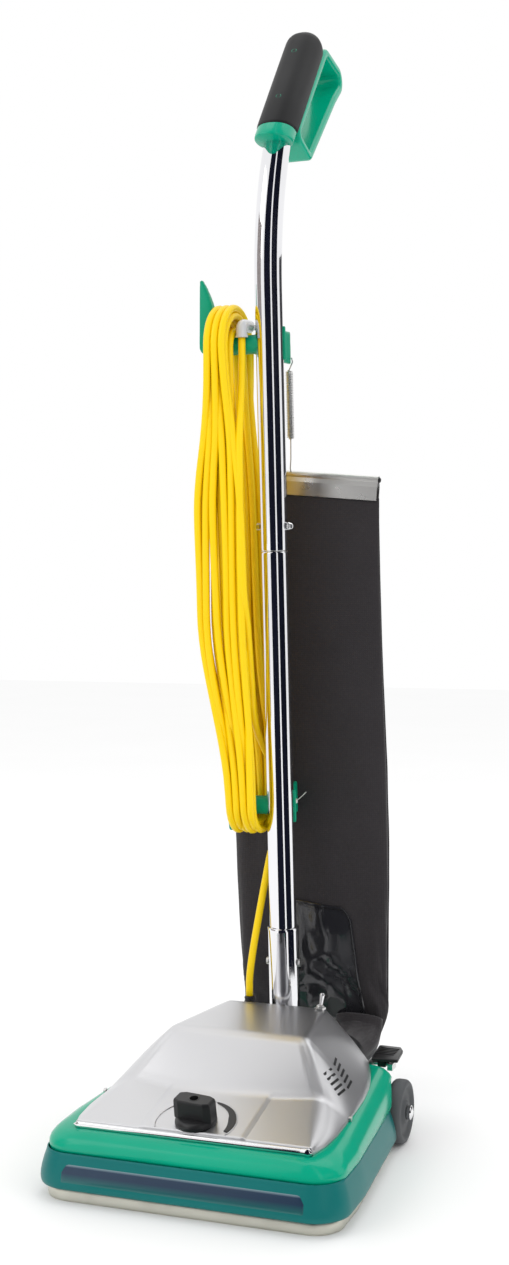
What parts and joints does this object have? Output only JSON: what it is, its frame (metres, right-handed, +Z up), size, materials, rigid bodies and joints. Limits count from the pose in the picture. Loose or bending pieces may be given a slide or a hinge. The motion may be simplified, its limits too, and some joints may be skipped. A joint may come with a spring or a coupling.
{
  "type": "upright vacuum cleaner",
  "caption": "Upright commercial vacuum cleaner: floor base with metal hood, tubular handle with D-grip, hanging cloth bag and cord wound on side hooks.",
  "frame": {"origin": "on the floor, under the middle of the machine's box", "axes": "+Z up, -Y towards the front, +X to the right of a person who faces the front"},
  "size_m": [0.336, 0.5058, 1.3039],
  "materials": {
    "green_abs": "moulded green ABS",
    "teal_bumper": "satin teal vinyl",
    "magnet": "dark satin bar",
    "plate_steel": "cream zinc plated steel",
    "zinc": "zinc plated",
    "hood_metal": "silver painted metal, glossy",
    "bright_trim": "bright chrome",
    "black_plastic": "black moulded plastic",
    "grey_nylon": "grey nylon",
    "motor_steel": "rolled steel can",
    "fan_cast": "cast aluminium",
    "white_nylon": "white nylon",
    "belt_rubber": "black rubber",
    "brush_wood": "turned beech",
    "bristle": "stiff nylon bristle",
    "wheel_grey": "grey rubber tread on plastic hub",
    "tube_chrome": "bright chrome plated steel",
    "hook_green": "green moulded nylon",
    "grip_rubber": "soft black overmould",
    "clip_aluminium": "satin extruded aluminium",
    "bag_cloth": "charcoal woven cloth",
    "cord_yellow": "yellow flexible vinyl",
    "plug_clear": "glossy silver-grey moulding",
    "vinyl_patch": "glossy black vinyl"
  },
  "bodies": {
    "base": {"base_housing": "green_abs", "bumper": "teal_bumper", "magnet_bar": "magnet", "bottom_plate": "plate_steel", "plate_screws": "zinc", "motor_hood": "hood_metal", "hood_trim": "bright_trim", "hood_screws": "zinc", "height_dial": "black_plastic", "motor_housing": "motor_steel", "motor_end_cap": "motor_steel", "motor_bearings": "motor_steel", "fan_housing": "fan_cast", "drive_belt": "belt_rubber", "brush_end_blocks": "grey_nylon", "exhaust_duct": "grey_nylon", "bag_collar": "black_plastic", "rear_axle": "zinc", "axle_caps": "zinc", "pivot_bracket": "motor_steel", "pivot_pin": "zinc", "pedal_pin": "zinc", "switch_body": "black_plastic", "switch_bushing": "zinc", "strain_relief": "black_plastic"},
    "motor_rotor": {"motor_shaft": "motor_steel", "fan_impeller": "white_nylon"},
    "brush": {"brush_roll": "brush_wood", "brush_bristles": "bristle"},
    "rear_wheel_l": {"rear_wheel_left": "wheel_grey"},
    "rear_wheel_r": {"rear_wheel_right": "wheel_grey"},
    "knob": {"height_knob": "black_plastic", "height_cam": "grey_nylon"},
    "carriage": {"front_carriage": "zinc", "front_axle": "zinc"},
    "front_wheel_l": {"front_wheel_left": "wheel_grey"},
    "front_wheel_r": {"front_wheel_right": "wheel_grey"},
    "pedal": {"release_pedal": "black_plastic"},
    "toggle": {"toggle_lever": "bright_trim"},
    "handle": {"handle_socket": "tube_chrome", "socket_screws": "zinc", "lower_tube": "tube_chrome", "upper_tube": "tube_chrome", "tube_bolt": "zinc", "tube_nut": "bright_trim", "upper_cord_hook": "hook_green", "lower_cord_hook": "hook_green", "cable_tie": "white_nylon", "grip_body": "green_abs", "grip_pad": "grip_rubber", "grip_screws": "hook_green", "bag_spring": "zinc", "bag_clip": "clip_aluminium", "bag": "bag_cloth", "bag_neck": "bag_cloth", "cord_hank": "cord_yellow", "cord_lead": "cord_yellow", "plug_body": "plug_clear", "plug_blades": "zinc"}
  },
  "joints": [
    {"name": "handle_tilt", "type": "hinge", "parent": "base", "child": "handle", "pos_m": [0, 0.08055, 0.075], "axis": [-1, 0, 0], "range_deg": [0, 75], "deforming": ["cord_lead", "bag_neck"]},
    {"name": "motor_spin", "type": "hinge", "parent": "base", "child": "motor_rotor", "pos_m": [0, -0.04745, 0.086], "axis": [1, 0, 0], "continuous": true},
    {"name": "brush_spin", "type": "hinge", "parent": "base", "child": "brush", "pos_m": [0, -0.19745, 0.025], "axis": [1, 0, 0], "continuous": true},
    {"name": "rear_wheel_left_spin", "type": "hinge", "parent": "base", "child": "rear_wheel_l", "pos_m": [-0.149, 0.04455, 0.036], "axis": [1, 0, 0], "continuous": true},
    {"name": "rear_wheel_right_spin", "type": "hinge", "parent": "base", "child": "rear_wheel_r", "pos_m": [0.149, 0.04455, 0.036], "axis": [1, 0, 0], "continuous": true},
    {"name": "height_knob_turn", "type": "hinge", "parent": "base", "child": "knob", "pos_m": [-0.002, -0.19945, 0.0815], "axis": [0, -0.213, 0.977], "range_deg": [0, 150]},
    {"name": "front_carriage_drop", "type": "slide", "parent": "base", "child": "carriage", "axis": [0, 0, -1], "range_m": [0, 0.011]},
    {"name": "front_wheel_left_spin", "type": "hinge", "parent": "carriage", "child": "front_wheel_l", "pos_m": [-0.047, -0.13145, 0.024], "axis": [1, 0, 0], "continuous": true},
    {"name": "front_wheel_right_spin", "type": "hinge", "parent": "carriage", "child": "front_wheel_r", "pos_m": [0.047, -0.13145, 0.024], "axis": [1, 0, 0], "continuous": true},
    {"name": "pedal_press", "type": "hinge", "parent": "base", "child": "pedal", "pos_m": [0, 0.06555, 0.083], "axis": [-1, 0, 0], "range_deg": [0, 12], "stiffness_Nm_per_rad": 1, "springref_deg": -11.46},
    {"name": "toggle_flip", "type": "hinge", "parent": "base", "child": "toggle", "pos_m": [0.056, 0.03755, 0.145], "axis": [0, -1, 0], "range_deg": [0, 18]}
  ],
  "couplings": [
    {"joint": "brush_spin", "follows": "motor_spin", "ratio": 0.4667},
    {"joint": "front_carriage_drop", "follows": "height_knob_turn", "m_per_rad": 0.004202}
  ]
}
